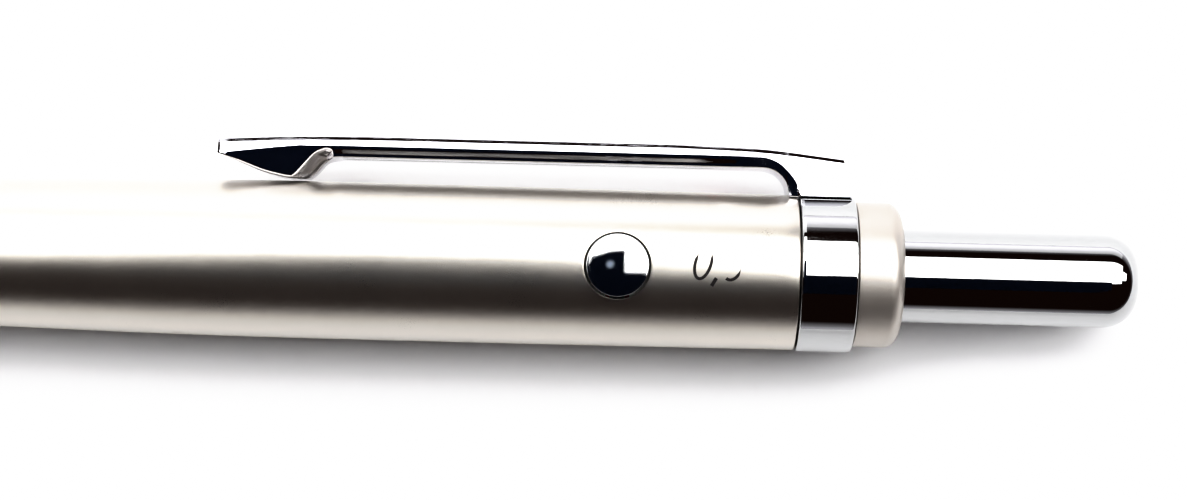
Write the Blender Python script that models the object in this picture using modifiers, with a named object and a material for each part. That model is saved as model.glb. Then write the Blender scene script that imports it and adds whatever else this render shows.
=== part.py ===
"""Multi pen with a pencil and two ballpoint refills, chosen by gravity.

The pen lies along +X with its push button at the rear (+X), its clip towards +Y and its
release button and lead mark facing up (+Z). Inside the script each piece is drawn in the
pen's own axes: Z is the station from the nose tip, X points to the clip and Y to the mark.
"""

import math

import bmesh
import bpy
from mathutils import Matrix

# Driving dimensions, in metres
NOSE_LENGTH = 0.016
FRONT_BARREL_LENGTH = 0.0459
REAR_BARREL_LENGTH = 0.0551
CLIP_RING_LENGTH = 0.0037
END_RING_LENGTH = 0.0031
BUTTON_EXPOSED = 0.0158
BARREL_RADIUS = 0.00532
JOINT_RADIUS = 0.00504
NOSE_BASE_RADIUS = 0.0044
TRAVEL = 0.007
SYSTEM_OFFSET = 0.00195
REFILL_RADIUS = 0.001175

# Clearances
JOINT_GAP = 0.0001
FIT_GAP = 0.00005
RUNNING_GAP = 0.0001
SEAT_GAP = 0.0003
OVERRUN = 0.001
MERGE_DISTANCE = 0.000001

# Facets of round pieces
LARGE_SEGMENTS = 48
BUTTON_SEGMENTS = 32
SMALL_SEGMENTS = 16
COIL_POINTS = 8

# Stations where the outer pieces meet
FRONT_BARREL_START = NOSE_LENGTH + JOINT_GAP
FRONT_BARREL_END = FRONT_BARREL_START + FRONT_BARREL_LENGTH
REAR_BARREL_START = FRONT_BARREL_END + JOINT_GAP
REAR_BARREL_END = REAR_BARREL_START + REAR_BARREL_LENGTH
CLIP_RING_START = REAR_BARREL_END + JOINT_GAP
CLIP_RING_END = CLIP_RING_START + CLIP_RING_LENGTH
END_RING_START = CLIP_RING_END + JOINT_GAP
END_RING_END = END_RING_START + END_RING_LENGTH
PEN_LENGTH = END_RING_END + BUTTON_EXPOSED

# Nose cone and front barrel
NOSE_TIP_RADIUS = 0.00185
NOSE_OPENING_RADIUS = 0.0014
NOSE_OPENING_LIP = 0.0003
NOSE_BORE_RADIUS = 0.0034
NOSE_SPIGOT_WALL = 0.00045
NOSE_SPIGOT_LENGTH = 0.004
NOSE_OUTER_SHARES = ((0.0, 0.0), (0.12, 0.22), (0.28, 0.45), (0.48, 0.66), (0.7, 0.83), (1.0, 1.0))
NOSE_INNER_SHARES = ((0.28, 0.525), (0.69, 0.95), (0.88, 1.0))
FRONT_BARREL_SHARES = ((0.0, 0.0), (0.25, 0.34), (0.5, 0.63), (0.75, 0.85), (1.0, 1.0))

# Rear barrel, satin tube in the photograph
BARREL_BORE_RADIUS = 0.00445
BARREL_EDGE_BREAK = 0.0001
REAR_BARREL_SHARES = (
    (0.0, 0.0), (0.07, 0.32), (0.14, 0.57), (0.24, 0.86), (0.34, 1.0),
    (0.5, 0.98), (0.75, 0.84), (1.0, 0.6),
)

# Coupling sleeve that joins the two barrels, and the spring seat in it
SLEEVE_FRONT_DEPTH = 0.007
SLEEVE_REAR_DEPTH = 0.0129
SLEEVE_BORE_RADIUS = 0.0037
SLEEVE_STEP_RADIUS = 0.00335
SLEEVE_STEP_LENGTH = 0.001
SEAT_THICKNESS = 0.0012
SEAT_HOLE_CLEARANCE = 0.00012
SEAT_HOLE_SLACK = 0.00025

# Release button, catch ring and their spring
RELEASE_SETBACK = 0.0119
RELEASE_RADIUS = 0.00215
RELEASE_TRAVEL = 0.0006
RELEASE_RIM_HEIGHT = 0.00035
RELEASE_RIM_WIDTH = 0.00022
RELEASE_DOME_HEIGHT = 0.0003
RELEASE_STEM_RADIUS = 0.00025
RELEASE_STEM_LENGTH = 0.0004
CATCH_THICKNESS = 0.001
CATCH_FLAT_HEIGHT = 0.0042
CATCH_WINDOW_CLEARANCE = 0.00012
LATCH_GAP = 0.0003
BOW_HALF_WIDTH = 0.0015
BOW_WIRE_RADIUS = 0.00012
BOW_DROP_SHARES = (0.0, 0.45, 0.85, 1.0, 0.85, 0.45, 0.0)

# Slides that carry the writing systems
SLIDE_BAR_WIDTH = 0.002
SLIDE_BAR_INNER = 0.00095
SLIDE_BAR_OUTER = 0.00275
SLIDE_SHOULDER_RADIUS = 0.0015
SLIDE_SHOULDER_LENGTH = 0.0015
SLIDE_SHOULDER_SETBACK = 0.0032
SLIDE_PEG_RADIUS = 0.0007
SLIDE_PEG_LENGTH = 0.0033
SLIDE_PIVOT_SETBACK = 0.0018

# Writing systems
REFILL_BORE_RADIUS = 0.0008
REFILL_REST_DEPTH = 0.0045
REFILL_POINT_LENGTH = 0.0065
REFILL_SPIGOT_LENGTH = 0.003
REFILL_POINT_RADIUS = 0.0005
REFILL_POINT_SHARES = ((0.38, 0.2), (0.4, 0.3), (0.72, 0.5), (0.76, 0.68), (1.0, 1.0))
BALL_RADIUS = 0.00033
BALL_SOCKET_DEPTH = 0.00055
LEAD_RADIUS = 0.00025
LEAD_LENGTH = 0.042
LEAD_STANDOUT = 0.0003
PENCIL_SLEEVE_RADIUS = 0.0004
PENCIL_SLEEVE_LENGTH = 0.0026
PENCIL_CONE_LENGTH = 0.0115
PENCIL_CONE_SHARES = ((0.227, 0.25), (0.42, 0.58), (0.565, 0.97), (1.0, 1.0))
PENCIL_CHAMBER_DEPTH = 0.0065
PENCIL_CHAMBER_RADIUS = 0.0009
CHUCK_HEAD_RADIUS = 0.00055
CHUCK_HEAD_LENGTH = 0.0017
CHUCK_STEM_RADIUS = 0.0004
CHUCK_STEM_LENGTH = 0.0055
CHUCK_SLOT = 0.00012
CHUCK_RING_LENGTH = 0.0012
LEAD_TUBE_RADIUS = 0.00058
LEAD_TUBE_REAR_GAP = 0.0034
LEAD_FEED = 0.0008
PENCIL_SPRING_WIRE = 0.00008
PENCIL_SPRING_TURNS = 7

# Return springs of the slides
RETURN_WIRE_RADIUS = 0.00015
RETURN_COIL_RADIUS = 0.00145
RETURN_TURNS = 8

# Guide body, rear guide and rear collar
CHANNEL_CLEARANCE = 0.0001
REAR_GUIDE_BORE_RADIUS = 0.00308
REAR_GUIDE_SHOULDER = 0.0008
COLLAR_NECK_RADIUS = 0.00425
COLLAR_BORE_RADIUS = 0.00375
STOP_GAP = 0.0004

# Clip ring, end ring and push button
RING_RADIUS = 0.0053
RING_EDGE = 0.00018
END_RING_RADIUS = 0.00487
END_RING_WALL = 0.001
END_RING_ROUND = 0.0004
BUTTON_RADIUS = 0.00315
BUTTON_WALL = 0.0005
BUTTON_DOME_LENGTH = 0.0022
BUTTON_FLAT_SHARE = 0.4
BUTTON_DOME_POINTS = 6
BUTTON_LIP_RADIUS = 0.00362
BUTTON_LIP_LENGTH = 0.001
BUTTON_SKIRT = 0.0021
BUTTON_END_WALL = 0.0035
BUTTON_SPRING_WIRE = 0.00014
BUTTON_SPRING_TURNS = 6
BUTTON_COIL_POINTS = 12

# Pendulum and its pin
PIN_RADIUS = 0.0007
PIN_HEAD_RADIUS = 0.0011
PIN_HEAD_LENGTH = 0.0007
PIN_PRESS_DEPTH = 0.0008
BOSS_RADIUS = 0.0015
BOSS_LENGTH = 0.0025
HUB_RADIUS = 0.0013
WEIGHT_RADIUS = 0.0024
WEIGHT_SETBACK = 0.001
FINGER_INNER = 0.0018
FINGER_OUTER = 0.00235
FINGER_WIDTH = 0.0016
PUSH_GAP = 0.0003

# Clip
CLIP_TIP_STATION = 0.0782
CLIP_TOP_HEIGHT = 0.0083
CLIP_TIP_DROP = 0.00037
CLIP_ARM_THICKNESS = 0.00142
CLIP_TIP_THICKNESS = 0.0007
CLIP_TOP_FLAT_START = 0.088
CLIP_TOP_FLAT_END = 0.110
CLIP_REAR_DROP = 0.00072
CLIP_REAR_SETBACK = 0.0002
CLIP_REAR_SLANT = 0.0006
CLIP_WIDTH = 0.0038
CLIP_EDGE = 0.00035
CLIP_FOOT_START = 0.0828
CLIP_FOOT_END = 0.0844
CLIP_FOOT_RISE = 0.0017
CLIP_SEAT_GAP = 0.0001
CLIP_ROOT_RADIUS = 0.0018
CLIP_ROOT_POINTS = 7
CLIP_BASE_LENGTH = 0.0037
CLIP_TONGUE_WIDTH = 0.002
CLIP_TONGUE_LENGTH = 0.0015
CLIP_TONGUE_SETBACK = 0.0008
CLIP_TONGUE_CLEARANCE = 0.00015

# Azimuths of the systems round the pen axis, from the clip towards the mark
SYSTEM_AZIMUTHS = {
    "pencil": math.radians(270),
    "black": math.radians(30),
    "red": math.radians(150),
}

# Stations of the mechanism, worked out from the values above
RELEASE_STATION = REAR_BARREL_END - RELEASE_SETBACK
CATCH_START = RELEASE_STATION - CATCH_THICKNESS / 2
CATCH_END = CATCH_START + CATCH_THICKNESS
SLIDE_TAIL_END = CATCH_START - LATCH_GAP + TRAVEL
FINGER_TIP = SLIDE_TAIL_END + PUSH_GAP
SLEEVE_START = FRONT_BARREL_END - SLEEVE_FRONT_DEPTH
SLEEVE_END = REAR_BARREL_START + SLEEVE_REAR_DEPTH
SLEEVE_STEP_END = SLEEVE_START + SLEEVE_STEP_LENGTH
SEAT_START = SLEEVE_STEP_END + FIT_GAP
SEAT_END = SEAT_START + SEAT_THICKNESS
SHOULDER_START = SLEEVE_END - SLIDE_SHOULDER_SETBACK
SHOULDER_END = SHOULDER_START + SLIDE_SHOULDER_LENGTH
PIVOT_STATION = SHOULDER_START - SLIDE_PIVOT_SETBACK
REFILL_END = SHOULDER_START - SEAT_GAP
POINT_END = REFILL_REST_DEPTH + REFILL_POINT_LENGTH
CONE_END = REFILL_REST_DEPTH + PENCIL_CONE_LENGTH
CHAMBER_START = REFILL_REST_DEPTH + PENCIL_CHAMBER_DEPTH
CHUCK_START = CHAMBER_START + LEAD_FEED + FIT_GAP
CHUCK_STEM_START = CHUCK_START + CHUCK_HEAD_LENGTH
LEAD_TUBE_START = CHUCK_STEM_START + CHUCK_STEM_LENGTH + FIT_GAP
LEAD_TUBE_END = SHOULDER_START - SLIDE_PEG_LENGTH - LEAD_TUBE_REAR_GAP
GUIDE_START = SLEEVE_END + SEAT_GAP
GUIDE_END = CATCH_START - SEAT_GAP
LIP_END = END_RING_END - END_RING_WALL - RUNNING_GAP
LIP_START = LIP_END - BUTTON_LIP_LENGTH
SKIRT_START = LIP_START - BUTTON_SKIRT
REAR_GUIDE_START = CATCH_END + SEAT_GAP
REAR_GUIDE_END = SKIRT_START - TRAVEL - STOP_GAP
COLLAR_START = REAR_GUIDE_END + SEAT_GAP
COLLAR_END = LIP_END - RUNNING_GAP
BUTTON_CAVITY_END = PEN_LENGTH - BUTTON_END_WALL
BOSS_START = BUTTON_CAVITY_END - BOSS_LENGTH
PIN_END = BUTTON_CAVITY_END + PIN_PRESS_DEPTH
PIN_START = SKIRT_START - SEAT_GAP
PENDULUM_START = PIN_START + PIN_HEAD_LENGTH + SEAT_GAP
PENDULUM_END = BOSS_START - SEAT_GAP
GUIDE_RADIUS = BARREL_BORE_RADIUS - RUNNING_GAP
SLEEVE_RADIUS = BARREL_BORE_RADIUS - FIT_GAP
CLIP_HINGE_HEIGHT = RING_RADIUS + CLIP_SEAT_GAP


def clear_scene():
    """Remove every object, so that the script can be run again."""
    for obj in list(bpy.data.objects):
        bpy.data.objects.remove(obj, do_unlink=True)


def make_collection(name):
    """A new collection in the scene."""
    collection = bpy.data.collections.new(name)
    bpy.context.scene.collection.children.link(collection)
    return collection


def make_material(name, colour, roughness, metallic):
    """A Principled material with one colour."""
    material = bpy.data.materials.new(name)
    material.use_nodes = True
    shader = material.node_tree.nodes["Principled BSDF"]
    shader.inputs["Base Color"].default_value = (*colour, 1.0)
    shader.inputs["Roughness"].default_value = roughness
    shader.inputs["Metallic"].default_value = metallic
    material.diffuse_color = (*colour, 1.0)
    return material


clear_scene()
PIECES = make_collection("multi_pen")
CUTTERS = make_collection("cutters")

FINISHES = {
    "satin": ((0.66, 0.63, 0.60), 0.34, 1.0),
    "chrome": ((0.86, 0.86, 0.88), 0.06, 1.0),
    "steel": ((0.62, 0.62, 0.64), 0.25, 1.0),
    "brass": ((0.72, 0.55, 0.27), 0.28, 1.0),
    "guide_plastic": ((0.80, 0.80, 0.78), 0.45, 0.0),
    "black_plastic": ((0.03, 0.03, 0.035), 0.4, 0.0),
    "red_plastic": ((0.55, 0.03, 0.03), 0.4, 0.0),
    "lead": ((0.05, 0.05, 0.055), 0.5, 0.2),
}


def place(obj, parent, finish, collection=None):
    """Link a piece, parent it and give it a material of its own."""
    (collection or PIECES).objects.link(obj)
    obj.parent = parent
    if finish:
        obj.data.materials.append(make_material(f"{obj.name}_finish", *FINISHES[finish]))
    return obj


def make_empty(name, parent=None, location=(0, 0, 0), rotation=(0, 0, 0)):
    """An empty that carries pieces, on the axis that they turn or slide on."""
    holder = bpy.data.objects.new(name, None)
    PIECES.objects.link(holder)
    holder.parent = parent
    holder.location = location
    holder.rotation_euler = rotation
    return holder


def hide_cutter(obj):
    """Show a cutter as wire and keep it out of the model."""
    obj.hide_render = True
    obj.display_type = "WIRE"
    return obj


def turned(name, outer, inner, parent, finish, segments=LARGE_SEGMENTS, collection=None):
    """A turned piece from (station, radius) points, each side listed from front to rear.

    With no inner side the piece is solid and its outer side starts and ends on the axis.
    """
    outline = list(reversed(outer)) + list(inner)
    last = len(outline) - 1
    edges = [(index, index + 1) for index in range(last)]
    if inner:
        edges.append((last, 0))
    mesh = bpy.data.meshes.new(name)
    mesh.from_pydata([(radius, 0, station) for station, radius in outline], edges, [])
    obj = place(bpy.data.objects.new(name, mesh), parent, finish, collection)
    screw = obj.modifiers.new("Turn", "SCREW")
    screw.steps = segments
    screw.render_steps = segments
    screw.use_merge_vertices = True
    screw.merge_threshold = MERGE_DISTANCE
    screw.use_smooth_shade = False
    return obj


def flat_solid(name, outlines, half_thickness, edge, turn, parent, finish):
    """A plate with the given outlines in its plane, the later ones as holes, and rounded edges."""
    curve = bpy.data.curves.new(name, "CURVE")
    curve.dimensions = "2D"
    curve.fill_mode = "BOTH"
    curve.offset = -edge
    curve.extrude = half_thickness - edge
    curve.bevel_depth = edge
    curve.bevel_resolution = 1
    for outline in outlines:
        spline = curve.splines.new("POLY")
        spline.points.add(len(outline) - 1)
        for point, (first, second) in zip(spline.points, outline):
            point.co = (first, second, 0, 1)
        spline.use_cyclic_u = True
    drawn = place(bpy.data.objects.new(f"{name}_outline", curve), parent, None)
    graph = bpy.context.evaluated_depsgraph_get()
    mesh = bpy.data.meshes.new_from_object(drawn.evaluated_get(graph))
    bpy.data.objects.remove(drawn)
    mesh.transform(turn)
    bm = bmesh.new()
    bm.from_mesh(mesh)
    bmesh.ops.remove_doubles(bm, verts=bm.verts, dist=MERGE_DISTANCE)
    bm.to_mesh(mesh)
    bm.free()
    return place(bpy.data.objects.new(name, mesh), parent, finish)


def round_bar(radius, start, end):
    """Outer side of a plain solid cylinder between two stations."""
    return [(start, 0), (start, radius), (end, radius), (end, 0)]


def box(name, low, high, parent, finish=None, collection=None):
    """A box between two corners, from a unit cube."""
    size = [high[axis] - low[axis] for axis in range(3)]
    middle = [(high[axis] + low[axis]) / 2 for axis in range(3)]
    bm = bmesh.new()
    bmesh.ops.create_cube(bm, size=1, matrix=Matrix.Translation(middle) @ Matrix.Diagonal((*size, 1)))
    mesh = bpy.data.meshes.new(name)
    bm.to_mesh(mesh)
    bm.free()
    return place(bpy.data.objects.new(name, mesh), parent, finish, collection)


def cutting_bar(name, radius, start, end, parent, segments=LARGE_SEGMENTS):
    """A cylinder that only cuts or joins."""
    return hide_cutter(turned(name, round_bar(radius, start, end), [], parent, None, segments, CUTTERS))


def cutting_box(name, low, high, parent):
    """A box that only cuts or joins."""
    return hide_cutter(box(name, low, high, parent, None, CUTTERS))


def combine(target, tool, operation="DIFFERENCE"):
    """Cut a piece with a tool, join the tool to it or keep what they share."""
    modifier = target.modifiers.new(tool.name, "BOOLEAN")
    modifier.operation = operation
    modifier.solver = "EXACT"
    modifier.object = tool


def coil(name, start, end, radius, wire_radius, turns, parent, finish, points=COIL_POINTS):
    """A compression spring round the parent's axis, as one unbroken tube."""
    count = turns * points
    first = start + wire_radius
    rise = (end - wire_radius - first) / count
    curve = bpy.data.curves.new(name, "CURVE")
    curve.dimensions = "3D"
    curve.bevel_depth = wire_radius
    curve.bevel_resolution = 1
    curve.use_fill_caps = True
    spline = curve.splines.new("POLY")
    spline.points.add(count)
    for index, point in enumerate(spline.points):
        angle = math.tau * index / points
        point.co = (radius * math.cos(angle), radius * math.sin(angle), first + rise * index, 1)
    least_gap = rise * points - wire_radius * 2
    print(f"{name}: least gap between turns {least_gap / 0.001:.2f} mm")
    return place(bpy.data.objects.new(name, curve), parent, finish)


def along(start, length, radius, growth, shares):
    """Outline points from shares of a length and of a growth in radius."""
    return [(start + length * place_share, radius + growth * size_share)
            for place_share, size_share in shares]


def make_front_section(pen):
    """Nose cone with its spigot, and the front barrel that it plugs into."""
    cone_growth = NOSE_BASE_RADIUS - NOSE_TIP_RADIUS
    bore_growth = NOSE_BORE_RADIUS - NOSE_OPENING_RADIUS
    spigot_radius = NOSE_BORE_RADIUS + NOSE_SPIGOT_WALL
    spigot_end = NOSE_LENGTH + NOSE_SPIGOT_LENGTH
    outer = along(0, NOSE_LENGTH, NOSE_TIP_RADIUS, cone_growth, NOSE_OUTER_SHARES)
    outer += [(NOSE_LENGTH, spigot_radius), (spigot_end, spigot_radius)]
    inner = [(0, NOSE_OPENING_RADIUS), (NOSE_OPENING_LIP, NOSE_OPENING_RADIUS)]
    inner += along(0, NOSE_LENGTH, NOSE_OPENING_RADIUS, bore_growth, NOSE_INNER_SHARES)
    inner += [(spigot_end, NOSE_BORE_RADIUS)]
    turned("nose_cone", outer, inner, pen, "chrome")

    bore_radius = spigot_radius + FIT_GAP
    step = SLEEVE_START - JOINT_GAP
    growth = JOINT_RADIUS - NOSE_BASE_RADIUS
    outer = along(FRONT_BARREL_START, FRONT_BARREL_LENGTH, NOSE_BASE_RADIUS, growth, FRONT_BARREL_SHARES)
    inner = [
        (FRONT_BARREL_START, bore_radius), (step, bore_radius),
        (step, BARREL_BORE_RADIUS), (FRONT_BARREL_END, BARREL_BORE_RADIUS),
    ]
    turned("front_barrel", outer, inner, pen, "satin")


def make_rear_barrel(pen, release):
    """Satin rear barrel with the round hole for the release button."""
    growth = BARREL_RADIUS - JOINT_RADIUS
    outer = along(REAR_BARREL_START, REAR_BARREL_LENGTH, JOINT_RADIUS, growth, REAR_BARREL_SHARES)
    end_radius = outer[-1][1]
    outer[-1] = (REAR_BARREL_END - BARREL_EDGE_BREAK, end_radius)
    outer.append((REAR_BARREL_END, end_radius - BARREL_EDGE_BREAK))
    inner = [(REAR_BARREL_START, BARREL_BORE_RADIUS), (REAR_BARREL_END, BARREL_BORE_RADIUS)]
    barrel = turned("rear_barrel", outer, inner, pen, "satin")
    hole = cutting_bar(
        "release_hole", RELEASE_RADIUS + RUNNING_GAP, 0, BARREL_RADIUS + OVERRUN, release, BUTTON_SEGMENTS)
    combine(barrel, hole)


def make_sleeve_and_seat(pen, systems):
    """Sleeve that joins the barrels, and the plate that the return springs stand on."""
    outer = [(SLEEVE_START, SLEEVE_RADIUS), (SLEEVE_END, SLEEVE_RADIUS)]
    inner = [
        (SLEEVE_START, SLEEVE_STEP_RADIUS), (SLEEVE_STEP_END, SLEEVE_STEP_RADIUS),
        (SLEEVE_STEP_END, SLEEVE_BORE_RADIUS), (SLEEVE_END, SLEEVE_BORE_RADIUS),
    ]
    turned("coupling_sleeve", outer, inner, pen, "brass")

    seat_radius = SLEEVE_BORE_RADIUS - FIT_GAP
    seat = turned("spring_seat", round_bar(seat_radius, SEAT_START, SEAT_END), [], pen, "guide_plastic")
    hole_radius = REFILL_RADIUS + SEAT_HOLE_CLEARANCE
    for label, system in systems.items():
        inward = make_empty(f"{label}_slack", system, (-SEAT_HOLE_SLACK, 0, 0))
        for part, holder in (("hole", system), ("slot", inward)):
            cutter = cutting_bar(
                f"{label}_seat_{part}", hole_radius, SEAT_START - OVERRUN, SEAT_END + OVERRUN,
                holder, SMALL_SEGMENTS)
            combine(seat, cutter)


def make_slide(label, system):
    """Slide: a bar in its guide channel, a shoulder for the spring and a peg for the refill."""
    shoulder = [
        (SHOULDER_START - SLIDE_PEG_LENGTH, 0), (SHOULDER_START - SLIDE_PEG_LENGTH, SLIDE_PEG_RADIUS),
        (SHOULDER_START, SLIDE_PEG_RADIUS), (SHOULDER_START, SLIDE_SHOULDER_RADIUS),
        (SHOULDER_END, SLIDE_SHOULDER_RADIUS), (SHOULDER_END, 0),
    ]
    finish = {"pencil": "steel", "black": "black_plastic", "red": "red_plastic"}[label]
    slide = turned(f"slide_{label}", shoulder, [], system, finish, SMALL_SEGMENTS)
    low = (SLIDE_BAR_INNER - SYSTEM_OFFSET, -SLIDE_BAR_WIDTH / 2, SHOULDER_START + SLIDE_SHOULDER_LENGTH / 2)
    high = (SLIDE_BAR_OUTER - SYSTEM_OFFSET, SLIDE_BAR_WIDTH / 2, SLIDE_TAIL_END)
    combine(slide, cutting_box(f"{label}_bar", low, high, system), "UNION")
    return coil(
        f"return_spring_{label}", SEAT_END + RUNNING_GAP, SHOULDER_START - RUNNING_GAP, RETURN_COIL_RADIUS,
        RETURN_WIRE_RADIUS, RETURN_TURNS, system, "steel")


def make_refill(label, system):
    """Ballpoint refill: tube, metal point and ball, on an empty at its tilt pivot."""
    pivot = make_empty(f"{label}_pivot", system, (0, 0, PIVOT_STATION))
    axis = make_empty(f"{label}_refill", pivot, (0, 0, -PIVOT_STATION))
    spigot_radius = REFILL_BORE_RADIUS - FIT_GAP
    face = REFILL_REST_DEPTH + BALL_RADIUS * 2 / 3
    growth = REFILL_RADIUS - REFILL_POINT_RADIUS
    outer = [(face, REFILL_POINT_RADIUS)]
    outer += along(REFILL_REST_DEPTH, REFILL_POINT_LENGTH, REFILL_POINT_RADIUS, growth, REFILL_POINT_SHARES)
    outer += [(POINT_END, spigot_radius), (POINT_END + REFILL_SPIGOT_LENGTH, spigot_radius)]
    outer += [(POINT_END + REFILL_SPIGOT_LENGTH, 0)]
    socket_radius = BALL_RADIUS + FIT_GAP
    socket_end = face + BALL_SOCKET_DEPTH
    outer = [(socket_end, 0), (socket_end, socket_radius), (face, socket_radius)] + outer
    turned(f"refill_tip_{label}", outer, [], axis, "brass", SMALL_SEGMENTS)

    tube_start = POINT_END + FIT_GAP
    tube = [(tube_start, REFILL_RADIUS), (REFILL_END, REFILL_RADIUS)]
    bore = [(tube_start, REFILL_BORE_RADIUS), (REFILL_END, REFILL_BORE_RADIUS)]
    turned(f"refill_tube_{label}", tube, bore, axis, f"{label}_plastic", SMALL_SEGMENTS)

    bm = bmesh.new()
    bmesh.ops.create_uvsphere(
        bm, u_segments=SMALL_SEGMENTS, v_segments=COIL_POINTS, radius=BALL_RADIUS,
        matrix=Matrix.Translation((0, 0, REFILL_REST_DEPTH + BALL_RADIUS)))
    mesh = bpy.data.meshes.new(f"refill_ball_{label}")
    bm.to_mesh(mesh)
    bm.free()
    place(bpy.data.objects.new(f"refill_ball_{label}", mesh), axis, "steel")


def make_pencil(system):
    """Pencil unit: cone with lead sleeve, tube, chuck with its ring and spring, lead tube and lead."""
    pivot = make_empty("pencil_pivot", system, (0, 0, PIVOT_STATION))
    axis = make_empty("pencil_unit", pivot, (0, 0, -PIVOT_STATION))
    lead_bore = LEAD_RADIUS + FIT_GAP
    spigot_radius = REFILL_BORE_RADIUS + (REFILL_RADIUS - REFILL_BORE_RADIUS) / 2
    sleeve_end = REFILL_REST_DEPTH + PENCIL_SLEEVE_LENGTH
    growth = REFILL_RADIUS - PENCIL_SLEEVE_RADIUS
    spigot_start = CONE_END
    spigot_end = spigot_start + REFILL_SPIGOT_LENGTH
    outer = [(REFILL_REST_DEPTH, PENCIL_SLEEVE_RADIUS), (sleeve_end, PENCIL_SLEEVE_RADIUS)]
    outer += along(REFILL_REST_DEPTH, PENCIL_CONE_LENGTH, PENCIL_SLEEVE_RADIUS, growth, PENCIL_CONE_SHARES)
    outer += [(spigot_start, spigot_radius), (spigot_end, spigot_radius)]
    inner = [
        (REFILL_REST_DEPTH, lead_bore), (CHAMBER_START, lead_bore),
        (CHAMBER_START, PENCIL_CHAMBER_RADIUS), (spigot_start, PENCIL_CHAMBER_RADIUS),
        (spigot_start, REFILL_BORE_RADIUS), (spigot_end, REFILL_BORE_RADIUS),
    ]
    turned("pencil_cone", outer, inner, axis, "steel", SMALL_SEGMENTS)

    tube_start = spigot_start + FIT_GAP
    socket_end = spigot_end + FIT_GAP
    tube = [(tube_start, REFILL_RADIUS), (REFILL_END, REFILL_RADIUS)]
    bore = [
        (tube_start, spigot_radius + FIT_GAP), (socket_end, spigot_radius + FIT_GAP),
        (socket_end, REFILL_BORE_RADIUS), (REFILL_END, REFILL_BORE_RADIUS),
    ]
    turned("pencil_tube", tube, bore, axis, "brass", SMALL_SEGMENTS)

    stem_end = CHUCK_STEM_START + CHUCK_STEM_LENGTH
    outer = [
        (CHUCK_START, CHUCK_HEAD_RADIUS), (CHUCK_STEM_START, CHUCK_HEAD_RADIUS),
        (CHUCK_STEM_START, CHUCK_STEM_RADIUS), (stem_end, CHUCK_STEM_RADIUS),
    ]
    bore = [(CHUCK_START, lead_bore), (stem_end, lead_bore)]
    chuck = turned("pencil_chuck", outer, bore, axis, "brass", SMALL_SEGMENTS)
    slot_half = CHUCK_SLOT / 2
    reach = CHUCK_HEAD_RADIUS + OVERRUN
    slot = cutting_box(
        "chuck_slot", (-reach, -slot_half, CHUCK_START - OVERRUN), (reach, slot_half, CHUCK_STEM_START), axis)
    combine(chuck, slot)

    ring_end = CHUCK_START + CHUCK_RING_LENGTH
    ring = [(CHUCK_START, PENCIL_CHAMBER_RADIUS - FIT_GAP), (ring_end, PENCIL_CHAMBER_RADIUS - FIT_GAP)]
    ring_bore = [(CHUCK_START, CHUCK_HEAD_RADIUS + FIT_GAP), (ring_end, CHUCK_HEAD_RADIUS + FIT_GAP)]
    turned("chuck_ring", ring, ring_bore, axis, "brass", SMALL_SEGMENTS)
    coil_radius = (CHUCK_STEM_RADIUS + REFILL_BORE_RADIUS) / 2
    coil(
        "pencil_spring", CHUCK_STEM_START + RUNNING_GAP, stem_end - RUNNING_GAP, coil_radius,
        PENCIL_SPRING_WIRE, PENCIL_SPRING_TURNS, axis, "steel")

    tube = [(LEAD_TUBE_START, LEAD_TUBE_RADIUS), (LEAD_TUBE_END, LEAD_TUBE_RADIUS)]
    bore = [(LEAD_TUBE_START, CHUCK_STEM_RADIUS), (LEAD_TUBE_END, CHUCK_STEM_RADIUS)]
    turned("lead_tube", tube, bore, axis, "guide_plastic", SMALL_SEGMENTS)
    lead_start = REFILL_REST_DEPTH - LEAD_STANDOUT
    turned("lead", round_bar(LEAD_RADIUS, lead_start, lead_start + LEAD_LENGTH), [], axis, "lead", SMALL_SEGMENTS)


def make_guides(pen, systems, release):
    """Guide body with three open channels, and the short tube behind the catch ring."""
    body = turned("guide_body", round_bar(GUIDE_RADIUS, GUIDE_START, GUIDE_END), [], pen, "guide_plastic")
    half_width = SLIDE_BAR_WIDTH / 2 + CHANNEL_CLEARANCE
    floor = SLIDE_BAR_INNER - CHANNEL_CLEARANCE - SYSTEM_OFFSET
    for label, system in systems.items():
        low = (floor, -half_width, GUIDE_START - OVERRUN)
        high = (GUIDE_RADIUS + OVERRUN, half_width, GUIDE_END + OVERRUN)
        combine(body, cutting_box(f"{label}_channel", low, high, system))

    outer = [(REAR_GUIDE_START, GUIDE_RADIUS), (REAR_GUIDE_END, GUIDE_RADIUS)]
    shoulder_start = REAR_GUIDE_END - REAR_GUIDE_SHOULDER
    shoulder_radius = REAR_GUIDE_BORE_RADIUS - RUNNING_GAP
    inner = [
        (REAR_GUIDE_START, REAR_GUIDE_BORE_RADIUS), (shoulder_start, REAR_GUIDE_BORE_RADIUS),
        (shoulder_start, shoulder_radius), (REAR_GUIDE_END, shoulder_radius),
    ]
    rear_guide = turned("rear_guide", outer, inner, pen, "guide_plastic")
    floor = CATCH_FLAT_HEIGHT - RELEASE_TRAVEL - RUNNING_GAP
    pocket = cutting_bar(
        "release_pocket", RELEASE_RADIUS + RUNNING_GAP * 2, floor, BARREL_RADIUS, release, BUTTON_SEGMENTS)
    combine(body, pocket)
    combine(rear_guide, pocket)


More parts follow.
